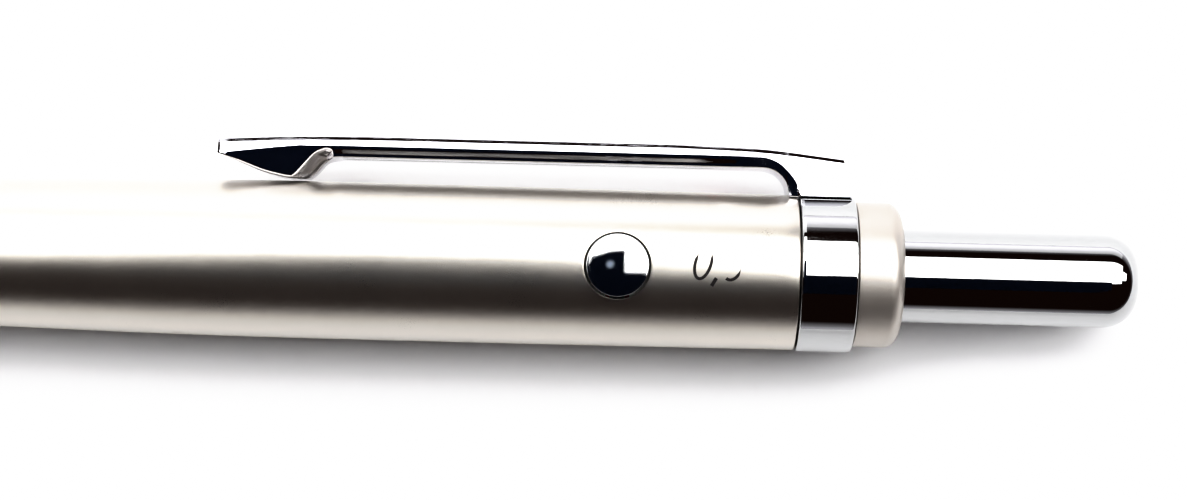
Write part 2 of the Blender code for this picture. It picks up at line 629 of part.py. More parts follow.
def catch_outlines():
    """Outer and window outlines of the catch ring as (x, y) points.

    The outer one is what the bore leaves to the ring both at rest and pressed, flat on top.
    The window is round and drawn out upwards by the travel, so the slides clear it both ways.
    """
    half_travel = RELEASE_TRAVEL / 2
    first = math.asin(half_travel / GUIDE_RADIUS)
    upper = []
    lower = []
    for index in range(BUTTON_SEGMENTS + 1):
        angle = first + (math.pi - first * 2) * index / BUTTON_SEGMENTS
        across, height = GUIDE_RADIUS * math.cos(angle), GUIDE_RADIUS * math.sin(angle)
        upper.append((across, min(height, CATCH_FLAT_HEIGHT)))
        lower.append((-across, RELEASE_TRAVEL - height))
    window_radius = math.hypot(SLIDE_BAR_OUTER, SLIDE_BAR_WIDTH / 2) + CATCH_WINDOW_CLEARANCE
    window = []
    for half in (0, 1):
        for index in range(SMALL_SEGMENTS + 1):
            angle = math.pi * (half + index / SMALL_SEGMENTS)
            window.append((window_radius * math.cos(angle),
                           window_radius * math.sin(angle) + RELEASE_TRAVEL * (1 - half)))
    return [upper + lower[1:-1], window]


def make_release(pen, release):
    """Round domed release button, the catch ring under it and the bow spring below the ring."""
    start = CATCH_FLAT_HEIGHT + RUNNING_GAP
    rim_start = BARREL_RADIUS
    rim_end = rim_start + RELEASE_RIM_HEIGHT
    stem_start = start - RELEASE_STEM_LENGTH
    dome_radius = RELEASE_RADIUS - RELEASE_RIM_WIDTH
    outer = [
        (stem_start, 0), (stem_start, RELEASE_STEM_RADIUS), (start, RELEASE_STEM_RADIUS),
        (start, RELEASE_RADIUS), (rim_start, RELEASE_RADIUS), (rim_end, dome_radius),
    ]
    for index in range(1, BUTTON_DOME_POINTS):
        angle = math.pi / 2 * index / BUTTON_DOME_POINTS
        outer.append((rim_end + RELEASE_DOME_HEIGHT * math.sin(angle), dome_radius * math.cos(angle)))
    outer.append((rim_end + RELEASE_DOME_HEIGHT, 0))
    turned("release_button", outer, [], release, "chrome", BUTTON_SEGMENTS)

    ring = flat_solid("catch_ring", catch_outlines(), CATCH_THICKNESS / 2, 0, Matrix(), pen, "steel")
    ring.location = (0, 0, RELEASE_STATION)
    stem_hole = cutting_bar(
        "stem_hole", RELEASE_STEM_RADIUS + RUNNING_GAP, stem_start - RUNNING_GAP, BARREL_RADIUS, release,
        SMALL_SEGMENTS)
    combine(ring, stem_hole)

    count = len(BOW_DROP_SHARES) - 1
    top = -GUIDE_RADIUS + RELEASE_TRAVEL - BOW_WIRE_RADIUS - RUNNING_GAP
    edge = BARREL_BORE_RADIUS - BOW_WIRE_RADIUS - RUNNING_GAP
    curve = bpy.data.curves.new("release_spring", "CURVE")
    curve.dimensions = "3D"
    curve.bevel_depth = BOW_WIRE_RADIUS
    curve.bevel_resolution = 1
    curve.use_fill_caps = True
    spline = curve.splines.new("POLY")
    spline.points.add(count)
    ends = -math.sqrt(edge ** 2 - BOW_HALF_WIDTH ** 2)
    for index, point in enumerate(spline.points):
        across = BOW_HALF_WIDTH * (2 * index / count - 1)
        height = ends + (top - ends) * BOW_DROP_SHARES[index]
        point.co = (across, height, RELEASE_STATION, 1)
    place(bpy.data.objects.new("release_spring", curve), pen, "steel")


def make_rear_collar(pen):
    """Collar that seats in the rear barrel and carries the clip ring and the end ring."""
    neck_start = REAR_BARREL_END
    outer = [
        (COLLAR_START, SLEEVE_RADIUS), (neck_start, SLEEVE_RADIUS),
        (neck_start, COLLAR_NECK_RADIUS), (COLLAR_END, COLLAR_NECK_RADIUS),
    ]
    inner = [(COLLAR_START, COLLAR_BORE_RADIUS), (COLLAR_END, COLLAR_BORE_RADIUS)]
    turned("rear_collar", outer, inner, pen, "brass")


def make_rings(pen, hinge):
    """Chrome clip ring with the slot for the clip's tongue, and the satin end ring."""
    outer = [
        (CLIP_RING_START, RING_RADIUS - RING_EDGE), (CLIP_RING_START + RING_EDGE, RING_RADIUS),
        (CLIP_RING_END - RING_EDGE, RING_RADIUS), (CLIP_RING_END, RING_RADIUS - RING_EDGE),
    ]
    bore = COLLAR_NECK_RADIUS + FIT_GAP
    ring = turned("clip_ring", outer, [(CLIP_RING_START, bore), (CLIP_RING_END, bore)], pen, "chrome")
    half_width = CLIP_TONGUE_WIDTH / 2 + CLIP_TONGUE_CLEARANCE
    tongue_end = -CLIP_TONGUE_SETBACK
    low = (COLLAR_NECK_RADIUS - CLIP_HINGE_HEIGHT, -half_width,
           tongue_end - CLIP_TONGUE_LENGTH - CLIP_TONGUE_CLEARANCE)
    high = (OVERRUN, half_width, tongue_end + CLIP_TONGUE_CLEARANCE)
    combine(ring, cutting_box("tongue_slot", low, high, hinge))

    wall_start = END_RING_END - END_RING_WALL
    rounded = [
        (END_RING_END - END_RING_ROUND * (1 - math.sin(math.pi / 2 * index / 4)),
         END_RING_RADIUS - END_RING_ROUND * (1 - math.cos(math.pi / 2 * index / 4)))
        for index in range(5)
    ]
    outer = [(END_RING_START, END_RING_RADIUS - BARREL_EDGE_BREAK),
             (END_RING_START + BARREL_EDGE_BREAK, END_RING_RADIUS)] + rounded
    counterbore = COLLAR_NECK_RADIUS + FIT_GAP
    hole = BUTTON_RADIUS + RUNNING_GAP
    inner = [(END_RING_START, counterbore), (wall_start, counterbore), (wall_start, hole), (END_RING_END, hole)]
    turned("end_ring", outer, inner, pen, "satin")


def make_push_button(pen):
    """Chrome push button: a deep cap with a lip, a shallow dome and the boss for the pin."""
    dome_start = PEN_LENGTH - BUTTON_DOME_LENGTH
    flat_radius = BUTTON_RADIUS * BUTTON_FLAT_SHARE
    round_radius = BUTTON_RADIUS - flat_radius
    outer = [
        (SKIRT_START, BUTTON_RADIUS), (LIP_START, BUTTON_RADIUS), (LIP_START, BUTTON_LIP_RADIUS),
        (LIP_END, BUTTON_LIP_RADIUS), (LIP_END, BUTTON_RADIUS),
    ]
    for index in range(BUTTON_DOME_POINTS + 1):
        angle = math.pi / 2 * index / BUTTON_DOME_POINTS
        outer.append((dome_start + BUTTON_DOME_LENGTH * math.sin(angle),
                      flat_radius + round_radius * math.cos(angle)))
    outer.append((PEN_LENGTH, 0))
    cavity_radius = BUTTON_RADIUS - BUTTON_WALL
    press_radius = PIN_RADIUS + FIT_GAP
    press_end = PIN_END + FIT_GAP
    inside = [
        (press_end, 0), (press_end, press_radius), (BOSS_START, press_radius), (BOSS_START, BOSS_RADIUS),
        (BUTTON_CAVITY_END, BOSS_RADIUS), (BUTTON_CAVITY_END, cavity_radius), (SKIRT_START, cavity_radius),
    ]
    turned("push_button", inside + outer, [], pen, "chrome", BUTTON_SEGMENTS)

    pin = [
        (PIN_START, 0), (PIN_START, PIN_HEAD_RADIUS), (PIN_START + PIN_HEAD_LENGTH, PIN_HEAD_RADIUS),
        (PIN_START + PIN_HEAD_LENGTH, PIN_RADIUS), (PIN_END, PIN_RADIUS), (PIN_END, 0),
    ]
    turned("pendulum_pin", pin, [], pen, "steel", SMALL_SEGMENTS)
    coil_radius = (BUTTON_RADIUS + BUTTON_LIP_RADIUS) / 2
    coil(
        "button_spring", REAR_GUIDE_END + RUNNING_GAP, LIP_START - RUNNING_GAP, coil_radius, BUTTON_SPRING_WIRE,
        BUTTON_SPRING_TURNS, pen, "steel", BUTTON_COIL_POINTS)


def make_pendulum(pen):
    """Half-round weight on the pin, with the finger that hangs down behind one slide."""
    hub = round_bar(HUB_RADIUS, PENDULUM_START, PENDULUM_END)
    pendulum = turned("pendulum", hub, [], pen, "brass", BUTTON_SEGMENTS)
    weight_end = PENDULUM_END - WEIGHT_SETBACK
    weight = cutting_bar("weight", WEIGHT_RADIUS, PENDULUM_START, weight_end, pen, BUTTON_SEGMENTS)
    upper = cutting_box(
        "weight_upper_half", (-WEIGHT_RADIUS - OVERRUN, 0, PENDULUM_START - OVERRUN),
        (WEIGHT_RADIUS + OVERRUN, WEIGHT_RADIUS + OVERRUN, PENDULUM_END), pen)
    combine(weight, upper)
    combine(pendulum, weight, "UNION")
    half_width = FINGER_WIDTH / 2
    low = (-half_width, -FINGER_OUTER, FINGER_TIP)
    high = (half_width, -FINGER_INNER, weight_end)
    combine(pendulum, cutting_box("finger", low, high, pen), "UNION")
    bore = cutting_bar(
        "pin_bore", PIN_RADIUS + RUNNING_GAP, PENDULUM_START - OVERRUN, PENDULUM_END + OVERRUN, pen, SMALL_SEGMENTS)
    combine(pendulum, bore)


def clip_outline():
    """Side outline of the clip as (station, height) points, from the tip along the top and back."""
    tip_top = CLIP_TOP_HEIGHT - CLIP_TIP_DROP
    rear_top = CLIP_TOP_HEIGHT - CLIP_REAR_DROP
    base_start = CLIP_RING_END - CLIP_BASE_LENGTH
    underside = CLIP_TOP_HEIGHT - CLIP_ARM_THICKNESS
    foot = BARREL_RADIUS + CLIP_SEAT_GAP
    rear_end = CLIP_RING_END - CLIP_REAR_SETBACK
    points = [
        (CLIP_TIP_STATION, tip_top - CLIP_TIP_THICKNESS),
        (CLIP_TIP_STATION, tip_top),
        ((CLIP_TIP_STATION + CLIP_TOP_FLAT_START) / 2, CLIP_TOP_HEIGHT - CLIP_TIP_DROP / 4),
        (CLIP_TOP_FLAT_START, CLIP_TOP_HEIGHT),
        (CLIP_TOP_FLAT_END, CLIP_TOP_HEIGHT),
        ((CLIP_TOP_FLAT_END + rear_end) / 2, CLIP_TOP_HEIGHT - CLIP_REAR_DROP / 4),
        (rear_end - CLIP_REAR_SLANT, rear_top),
        (rear_end, CLIP_HINGE_HEIGHT),
    ]
    centre = base_start - CLIP_ROOT_RADIUS, underside - CLIP_ROOT_RADIUS
    first = math.asin((CLIP_HINGE_HEIGHT - centre[1]) / CLIP_ROOT_RADIUS)
    for index in range(CLIP_ROOT_POINTS):
        angle = first + (math.pi / 2 - first) * index / (CLIP_ROOT_POINTS - 1)
        points.append((centre[0] + CLIP_ROOT_RADIUS * math.cos(angle),
                       centre[1] + CLIP_ROOT_RADIUS * math.sin(angle)))
    points += [(CLIP_FOOT_END + CLIP_FOOT_RISE, underside), (CLIP_FOOT_END, foot), (CLIP_FOOT_START, foot)]
    return points


def make_clip(hinge):
    """Spring clip: one bent strip with a foot near its tip and a tongue into the ring."""
    outline = [(station - CLIP_RING_END, height - CLIP_HINGE_HEIGHT) for station, height in clip_outline()]
    turn = Matrix(((0, 1, 0, 0), (0, 0, 1, 0), (1, 0, 0, 0), (0, 0, 0, 1)))
    clip = flat_solid("clip", [outline], CLIP_WIDTH / 2, CLIP_EDGE, turn, hinge, "chrome")
    half_width = CLIP_TONGUE_WIDTH / 2
    tongue_end = -CLIP_TONGUE_SETBACK
    low = (COLLAR_NECK_RADIUS + RUNNING_GAP - CLIP_HINGE_HEIGHT, -half_width, tongue_end - CLIP_TONGUE_LENGTH)
    high = (CLIP_EDGE * 2, half_width, tongue_end)
    combine(clip, cutting_box("clip_tongue", low, high, hinge), "UNION")


def build():
    """The whole pen, laid on its side with the release button up."""
    lowest = BARREL_RADIUS
    across = -(CLIP_TOP_HEIGHT - BARREL_RADIUS) / 2
    laid = (math.radians(90), 0, math.radians(90))
    pen = make_empty("pen_axis", None, (-PEN_LENGTH / 2, across, lowest), laid)
    release = make_empty("release_axis", pen, (0, 0, RELEASE_STATION), (-math.radians(90), 0, 0))
    hinge = make_empty("clip_hinge", pen, (CLIP_HINGE_HEIGHT, 0, CLIP_RING_END))
    systems = {}
    for label, azimuth in SYSTEM_AZIMUTHS.items():
        location = (SYSTEM_OFFSET * math.cos(azimuth), SYSTEM_OFFSET * math.sin(azimuth), 0)
        systems[label] = make_empty(f"{label}_system", pen, location, (0, 0, azimuth))
    bpy.context.view_layer.update()

    make_front_section(pen)
    make_rear_barrel(pen, release)
    make_sleeve_and_seat(pen, systems)
    make_guides(pen, systems, release)
    make_release(pen, release)
    make_rear_collar(pen)
    make_rings(pen, hinge)
    make_push_button(pen)
    make_pendulum(pen)
    make_clip(hinge)
    for label, system in systems.items():
        make_slide(label, system)
    make_refill("black", systems["black"])
    make_refill("red", systems["red"])
    make_pencil(systems["pencil"])


build()
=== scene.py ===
import math

import bmesh
import bpy
import numpy as np
from mathutils import Matrix, Vector


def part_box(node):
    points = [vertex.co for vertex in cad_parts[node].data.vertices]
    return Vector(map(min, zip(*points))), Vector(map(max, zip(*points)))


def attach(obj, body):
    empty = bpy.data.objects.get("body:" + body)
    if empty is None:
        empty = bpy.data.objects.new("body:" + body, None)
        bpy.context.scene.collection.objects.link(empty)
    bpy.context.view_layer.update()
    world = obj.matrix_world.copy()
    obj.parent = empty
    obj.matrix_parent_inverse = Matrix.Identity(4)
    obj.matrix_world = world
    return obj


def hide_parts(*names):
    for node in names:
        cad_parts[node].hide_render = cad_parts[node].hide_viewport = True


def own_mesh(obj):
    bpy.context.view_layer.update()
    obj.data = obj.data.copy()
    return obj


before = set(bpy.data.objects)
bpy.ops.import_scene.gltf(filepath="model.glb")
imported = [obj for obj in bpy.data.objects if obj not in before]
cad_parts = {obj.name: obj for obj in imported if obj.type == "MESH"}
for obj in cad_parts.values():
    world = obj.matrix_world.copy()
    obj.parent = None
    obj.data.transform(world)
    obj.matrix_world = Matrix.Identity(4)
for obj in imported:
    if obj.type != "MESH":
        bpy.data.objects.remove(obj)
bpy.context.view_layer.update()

# The multi pen dressed as the photograph shows it. Shapes are worked out in millimetres in the pen's own
# measures: the station from the nose tip, the radius, and the azimuth, which turns from the clip to the
# lead mark.
MM = 0.001
TURN = 2 * math.pi
CREASE = math.radians(40)
low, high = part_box("rear_barrel")
AXIS_Y = (low.y + high.y) / 2 / MM
AXIS_Z = (low.z + high.z) / 2 / MM
NOSE_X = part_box("nose_cone")[0].x / MM

# Stations and radii of the outer pieces, as the CAD has them
NOSE_END = 16.0
FRONT_START, FRONT_END = 16.1, 62.0
REAR_START, REAR_END = 62.1, 117.2
RING_START, RING_END = 117.3, 121.0
CAP_START, CAP_END = 121.1, 124.2
BUTTON_END = 140.0
RELEASE_STATION, RELEASE_HOLE = 105.3, 2.18
NOSE_RADIUS = 1.85
FRONT_RADIUS, JOINT_RADIUS = 4.4, 5.04
RING_RADIUS, RING_BORE = 5.3, 4.3
CAP_RADIUS = 4.87
BUTTON_RADIUS, BUTTON_BORE, BUTTON_LIP_RADIUS = 3.15, 2.65, 3.62
BORE_RADIUS = 4.45
CLIP_AZIMUTH, MARK_AZIMUTH = 0.0, math.radians(90)

# Writing systems: where their axes stand about the pen's axis, and the sizes of their refills
SYSTEM_OFFSET = 1.95
SYSTEMS = {"pencil": math.radians(270), "black": math.radians(30), "red": math.radians(150)}
REFILL_RADIUS, REFILL_NECK, REFILL_BORE = 1.175, 1.06, 0.8
REFILL_END = 71.5

# Clip: its front tip, the rear ends of its upper and lower lines, the centre and the two radii of the bend at
# its base, and half its width
CLIP_START, CLIP_TOP_END, CLIP_LOW_END = 78.2, 120.2, 120.8
BEND_STATION, BEND_HEIGHT, BEND_INNER, BEND_OUTER = 114.8, 5.08, 1.8, 2.55
CLIP_HALF_WIDTH = 1.9


# ---------------------------------------------------------------- finishes

def finish(name, colour, metallic, roughness, grain, speckle=0.04, wander=0.04, bump=0.0, depth=0.004,
           stretch=(1, 1, 1), coat=0.0, smudge=260):
    """Procedural finish on Object coordinates. A fine noise, the grain, shifts the colour by the speckle.
    The grain times a broad noise, the smudge, shifts the roughness by the wander. The grain also raises
    the surface."""
    material = bpy.data.materials.new(name)
    material.use_nodes = True
    nodes, links = material.node_tree.nodes, material.node_tree.links
    shader = nodes["Principled BSDF"]
    shader.inputs["Metallic"].default_value = metallic
    shader.inputs["Coat Weight"].default_value = coat
    shader.inputs["Coat Roughness"].default_value = 0.08
    place = nodes.new("ShaderNodeTexCoord")
    mapping = nodes.new("ShaderNodeMapping")
    mapping.inputs["Scale"].default_value = stretch
    links.new(place.outputs["Object"], mapping.inputs["Vector"])
    fine = nodes.new("ShaderNodeTexNoise")
    fine.inputs["Scale"].default_value = grain
    fine.inputs["Detail"].default_value = 3
    links.new(mapping.outputs["Vector"], fine.inputs["Vector"])
    broad = nodes.new("ShaderNodeTexNoise")
    broad.inputs["Scale"].default_value = smudge
    broad.inputs["Detail"].default_value = 2
    links.new(place.outputs["Object"], broad.inputs["Vector"])
    tint = nodes.new("ShaderNodeMix")
    tint.data_type = "RGBA"
    links.new(fine.outputs["Fac"], tint.inputs["Factor"])
    tint.inputs["A"].default_value = (*[c * (1 - speckle) for c in colour], 1)
    tint.inputs["B"].default_value = (*[min(1, c * (1 + speckle)) for c in colour], 1)
    links.new(tint.outputs["Result"], shader.inputs["Base Color"])
    both = nodes.new("ShaderNodeMath")
    both.operation = "MULTIPLY"
    links.new(fine.outputs["Fac"], both.inputs[0])
    links.new(broad.outputs["Fac"], both.inputs[1])
    gloss = nodes.new("ShaderNodeMapRange")
    gloss.inputs["From Min"].default_value = 0.1
    gloss.inputs["From Max"].default_value = 0.4
    gloss.inputs["To Min"].default_value = max(0.0, roughness - wander)
    gloss.inputs["To Max"].default_value = roughness + wander
    links.new(both.outputs["Value"], gloss.inputs["Value"])
    links.new(gloss.outputs["Result"], shader.inputs["Roughness"])
    if bump:
        relief = nodes.new("ShaderNodeBump")
        relief.inputs["Strength"].default_value = bump
        relief.inputs["Distance"].default_value = depth * MM
        links.new(fine.outputs["Fac"], relief.inputs["Height"])
        links.new(relief.outputs["Normal"], shader.inputs["Normal"])
    return material


# Each finish: name, colour, metallic, roughness, grain, then speckle, wander, bump, depth and stretch
FINISHES = {
    "satin": finish("satin_barrel", (0.60, 0.57, 0.52), 0.968, 0.285, 22000, 0.04, 0.012, 1.0, 0.008),
    "satin_cap": finish("satin_cap", (0.52, 0.49, 0.455), 0.88, 0.44, 22000, 0.04, 0.012, 1.0, 0.008),
    "chrome": finish("chrome", (0.49, 0.495, 0.495), 1.0, 0.045, 5200, 0.05, 0.015, 0.4, 0.0012,
                     (0.3, 1, 1)),
    "dome_chrome": finish("dome_chrome", (0.47, 0.475, 0.48), 1.0, 0.04, 12000, 0.05, 0.015, 0.6, 0.004),
    "clip_chrome": finish("clip_chrome", (0.62, 0.62, 0.65), 1.0, 0.06, 5200, 0.05, 0.02, 1.0, 0.007,
                          (0.05, 1, 1)),
    "steel": finish("spring_steel", (0.56, 0.56, 0.57), 1.0, 0.22, 7000, 0.08, 0.06, 0.1, 0.003),
    "brass": finish("brass", (0.72, 0.53, 0.26), 1.0, 0.22, 6000, 0.08, 0.06, 0.1, 0.003),
    "guide_plastic": finish("guide_plastic", (0.62, 0.61, 0.58), 0.0, 0.42, 6000, 0.04, 0.06, 0.2, 0.004),
    "black_plastic": finish("black_plastic", (0.02, 0.02, 0.022), 0.0, 0.35, 6000, 0.2, 0.06, 0.15, 0.004,
                            coat=0.2),
    "red_plastic": finish("red_plastic", (0.55, 0.03, 0.03), 0.0, 0.35, 6000, 0.1, 0.06, 0.15, 0.004,
                          coat=0.2),
    "lead": finish("lead", (0.05, 0.05, 0.055), 0.3, 0.4, 9000, 0.2, 0.08, 0.3, 0.003),
    # Near-black brass for the rear collar: painted shade, so that the seam between the rear barrel and the
    # clip ring shows dark.
    "seam_shade_brass": finish("seam_shade_brass", (0.10, 0.09, 0.08), 1.0, 0.35, 6000, 0.1, 0.06, 0.1, 0.003),
    "mark_ink": finish("mark_ink", (0.03, 0.026, 0.026), 0.0, 0.4, 9000, 0.2, 0.03, 0.2, 0.003),
    "red_ink": finish("red_ink", (0.5, 0.03, 0.03), 0.0, 0.5, 9000, 0.1, 0.05, 0.2, 0.003),
}
for ink in ("mark_ink", "red_ink"):
    FINISHES[ink].node_tree.nodes["Principled BSDF"].inputs["Specular IOR Level"].default_value = 0.08


# ---------------------------------------------------------------- shapes

def rounded(corners, radii, steps=6):
    """Outline with each corner C drawn as the arc (1-w)^2 A + 2w(1-w) C + w^2 B, where A and B lie on its
    two sides at the corner's radius, at most 0.4 of a side, with one holding point past each end."""
    corners = np.asarray(corners, float)
    radii = np.asarray(radii, float)
    before = np.roll(corners, 1, axis=-2) - corners
    after = np.roll(corners, -1, axis=-2) - corners
    length_before = np.maximum(np.linalg.norm(before, axis=-1), 1e-9)
    length_after = np.maximum(np.linalg.norm(after, axis=-1), 1e-9)
    cut = np.minimum(radii, 0.4 * np.minimum(length_before, length_after))
    toward_before = before / length_before[..., None] * cut[..., None]
    toward_after = after / length_after[..., None] * cut[..., None]
    w = np.linspace(0, 1, steps + 1)[:, None]
    arc = ((1 - w) ** 2 * (corners + toward_before)[..., None, :]
           + 2 * w * (1 - w) * corners[..., None, :]
           + w ** 2 * (corners + toward_after)[..., None, :])
    hold_before = (corners + toward_before * 1.35)[..., None, :]
    hold_after = (corners + toward_after * 1.35)[..., None, :]
    points = np.concatenate([hold_before, arc, hold_after], axis=-2)
    return points.reshape(*corners.shape[:-2], -1, 2)


def grid_faces(rows, columns, wrap_rows, wrap_columns):
    """Quads of a grid of points, row by row: each joins a point with its neighbours in the next row and
    column."""
    row = np.arange(rows if wrap_rows else rows - 1)
    column = np.arange(columns if wrap_columns else columns - 1)
    i, j = np.meshgrid(row, column, indexing="ij")
    i_next, j_next = (i + 1) % rows, (j + 1) % columns
    quads = [i * columns + j, i * columns + j_next, i_next * columns + j_next, i_next * columns + j]
    return np.stack(quads, axis=-1).reshape(-1, 4)


def piece(name, points, faces, material, body, nodes=()):
    """Object at the origin from points in millimetres and quads: welded, its faces turned outwards by the
    sign of the volume, smooth with sharp edges past the crease angle, riding on its body."""
    points = np.asarray(points, float).reshape(-1, 3)
    a, b, c, d = (points[faces[:, k]] for k in range(4))
    volume = (np.einsum("ij,ij->i", a, np.cross(b, c)) + np.einsum("ij,ij->i", a, np.cross(c, d))).sum()
    if volume < 0:
        faces = faces[:, ::-1]
    mesh = bpy.data.meshes.new(name)
    mesh.vertices.add(len(points))
    mesh.vertices.foreach_set("co", (points * MM).ravel())
    mesh.loops.add(faces.size)
    mesh.loops.foreach_set("vertex_index", np.ascontiguousarray(faces).ravel())
    mesh.polygons.add(len(faces))
    mesh.polygons.foreach_set("loop_start", np.arange(0, faces.size, 4))
    mesh.update(calc_edges=True)
    welded = bmesh.new()
    welded.from_mesh(mesh)
    bmesh.ops.remove_doubles(welded, verts=welded.verts, dist=2e-7)
    bmesh.ops.dissolve_degenerate(welded, edges=welded.edges, dist=1e-8)
    welded.to_mesh(mesh)
    welded.free()
    mesh.shade_smooth()
    mesh.set_sharp_from_angle(angle=CREASE)
    mesh.materials.append(FINISHES[material])
    obj = bpy.data.objects.new(name, mesh)
    bpy.context.scene.collection.objects.link(obj)
    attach(obj, body)
    if nodes:
        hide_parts(*nodes)
    return obj


def on_pen(station, radius, azimuth):
    """World point: x is the station from the nose, y and z turn the radius by the azimuth about the pen's
    axis."""
    station, radius, azimuth = np.broadcast_arrays(station, radius, azimuth)
    return np.stack([NOSE_X + station, AXIS_Y + radius * np.cos(azimuth), AXIS_Z + radius * np.sin(azimuth)],
                    -1)


def turned(name, corners, radii, material, body, nodes=(), segments=192, offset=(0, 0),
           closed=True):
    """Turned piece: the outline of stations and radii, with its corners rounded, is carried round the axis,
    so a point is (station, radius cos t, radius sin t). A closed outline makes a tube, an open one ends on
    the axis."""
    radii = np.array(np.broadcast_to(radii, len(corners)), float)
    if not closed:
        radii[[0, -1]] = 0
    profile = rounded(corners, radii)
    angle = np.arange(segments) * TURN / segments
    points = on_pen(profile[:, 0, None], np.maximum(profile[:, 1, None], 0), angle[None, :])
    points = points + np.array([0, *offset])
    faces = grid_faces(len(profile), segments, closed, True)
    return piece(name, points, faces, material, body, nodes)


def outward(point, first, second):
    """Sign of the normal (first - point) x (second - point), seen from the pen's axis: above 0 points out."""
    return np.dot(np.cross(first - point, second - point), point - [point[0], AXIS_Y, AXIS_Z])


def pierced_tube(name, stations, outer, bore, edge, hole, material, body, nodes=(), segments=240):
    """Tube with one hole in its wall. The wall is a loop of stations and radii carried round the axis, less a
    window of cells. A grid round the hole fills the window: it runs from the window's rim to the hole's lip,
    down the wall of the hole and out again on the inner side. Its points lie at share t between the rim point
    and the lip point (p cos f, p sin f), with p the radius of a superellipse in the direction f of the rim
    point. The hole is given as its station, azimuth, half length, half width, the superellipse's power, the
    rounding of its lip and the window's half length."""
    centre, azimuth, half_length, half_width, power, lip, window = hole
    reach_back = round(window / bore / TURN * segments)
    span = 2 * reach_back
    angles = azimuth + (np.arange(segments) - reach_back) * TURN / segments
    first = int(np.searchsorted(stations, centre - window))
    last = int(np.searchsorted(stations, centre + window)) - 1
    bend = np.linspace(0, math.pi / 2, 5)
    rear, front = stations[-1], stations[0]
    outside = np.stack([stations, outer(stations)], -1)
    rear_edge = np.stack([rear + edge * np.sin(bend), outer(rear) - edge + edge * np.cos(bend)], -1)[1:]
    front_edge = np.stack([front - edge * np.cos(bend), outer(front) - edge + edge * np.sin(bend)], -1)[:-1]
    inside = np.stack([stations[::-1], np.full(len(stations), bore)], -1)
    loop = np.concatenate([outside, rear_edge, [[rear + edge, bore]], inside, [[front - edge, bore]],
                           front_edge])
    shell = on_pen(loop[:, 0, None], loop[:, 1, None], angles[None, :])
    faces = grid_faces(len(loop), segments, True, True)
    row, column = faces[:, 0] // segments, faces[:, 0] % segments
    inner_row = len(stations) + len(rear_edge) + 1 + (len(stations) - 1 - last)
    in_window = ((row >= first) & (row < last)) | ((row >= inner_row) & (row < inner_row + last - first))
    faces = faces[~(in_window & (column < span))]

    along = np.concatenate([np.arange(first, last), np.full(span, last), np.arange(last, first, -1),
                            np.full(span, first)])
    across = np.concatenate([np.zeros(last - first, int), np.arange(span), np.full(last - first, span),
                             np.arange(span, 0, -1)])
    rim_station, rim_angle = stations[along] - centre, angles[across] - azimuth
    mean = (float(outer(np.array(centre))) + bore) / 2
    heading = np.arctan2(np.sin(rim_angle) * mean, rim_station)
    along_term = np.abs(np.cos(heading) / half_length) ** power
    across_term = np.abs(np.sin(heading) / half_width) ** power
    reach = (along_term + across_term) ** (-1 / power)

    def patch(radius_at, width):
        share = np.linspace(0, 1, 9)[:, None]
        lip_station = (reach + width) * np.cos(heading)
        lip_side = (reach + width) * np.sin(heading)
        lip_angle = np.arcsin(lip_side / radius_at(lip_station + centre))
        station = centre + rim_station * (1 - share) + lip_station * share
        return on_pen(station, radius_at(station), azimuth + rim_angle * (1 - share) + lip_angle * share)

    def wall(depth, width):
        station = centre + (reach + width) * np.cos(heading)
        side = (reach + width) * np.sin(heading)
        height = np.sqrt(outer(station) ** 2 - side ** 2) - depth
        return np.stack([NOSE_X + station, AXIS_Y + height * math.cos(azimuth) - side * math.sin(azimuth),
                         AXIS_Z + height * math.sin(azimuth) + side * math.cos(azimuth)], -1)

    outer_patch = patch(outer, lip)
    inner_patch = patch(lambda s: np.full(np.shape(s), bore), 0.0)[::-1]
    bevel = np.stack([wall(lip * (1 - math.cos(t)), lip * (1 - math.sin(t))) for t in bend[1:]])
    skin = np.concatenate([outer_patch, bevel, inner_patch])
    lips = grid_faces(len(skin), len(along), False, True)
    if outward(skin[0, 0], skin[1, 0], skin[0, 1]) >= 0:
        lips = lips[:, ::-1]
    corner = shell.reshape(-1, 3)[faces[0]]
    if outward(corner[0], corner[1], corner[3]) < 0:
        faces = faces[:, ::-1]
    points = np.concatenate([shell.reshape(-1, 3), skin.reshape(-1, 3)])
    faces = np.concatenate([faces, lips + shell.shape[0] * shell.shape[1]])
    return piece(name, points, faces, material, body, nodes)


def rear_radius(station):
    """Rear barrel: the joint's radius, plus 0.28 mm times a rise as the sine of a quarter turn over the first
    0.38 of its length and a fall to 0.6 as a square over the rest."""
    share = np.clip((np.asarray(station, float) - REAR_START) / (REAR_END - REAR_START), 0, 1)
    rise = np.sin(math.pi / 2 * np.minimum(share / 0.38, 1))
    fall = 1 - 0.4 * (np.maximum(share - 0.38, 0) / 0.62) ** 2
    return JOINT_RADIUS + 0.28 * np.where(share < 0.38, rise, fall)


def front_radius(station):
    """Front barrel: grows from its front radius to the joint's by share (1.5 - 0.5 share) of its length."""
    share = np.clip((np.asarray(station, float) - FRONT_START) / (FRONT_END - FRONT_START), 0, 1)
    return FRONT_RADIUS + (JOINT_RADIUS - FRONT_RADIUS) * share * (1.5 - 0.5 * share)


def fade(distance, length):
    """Share that grows from 0 to 1 as the distance grows from 0 to the length."""
    return np.clip(distance / length, 0, 1)


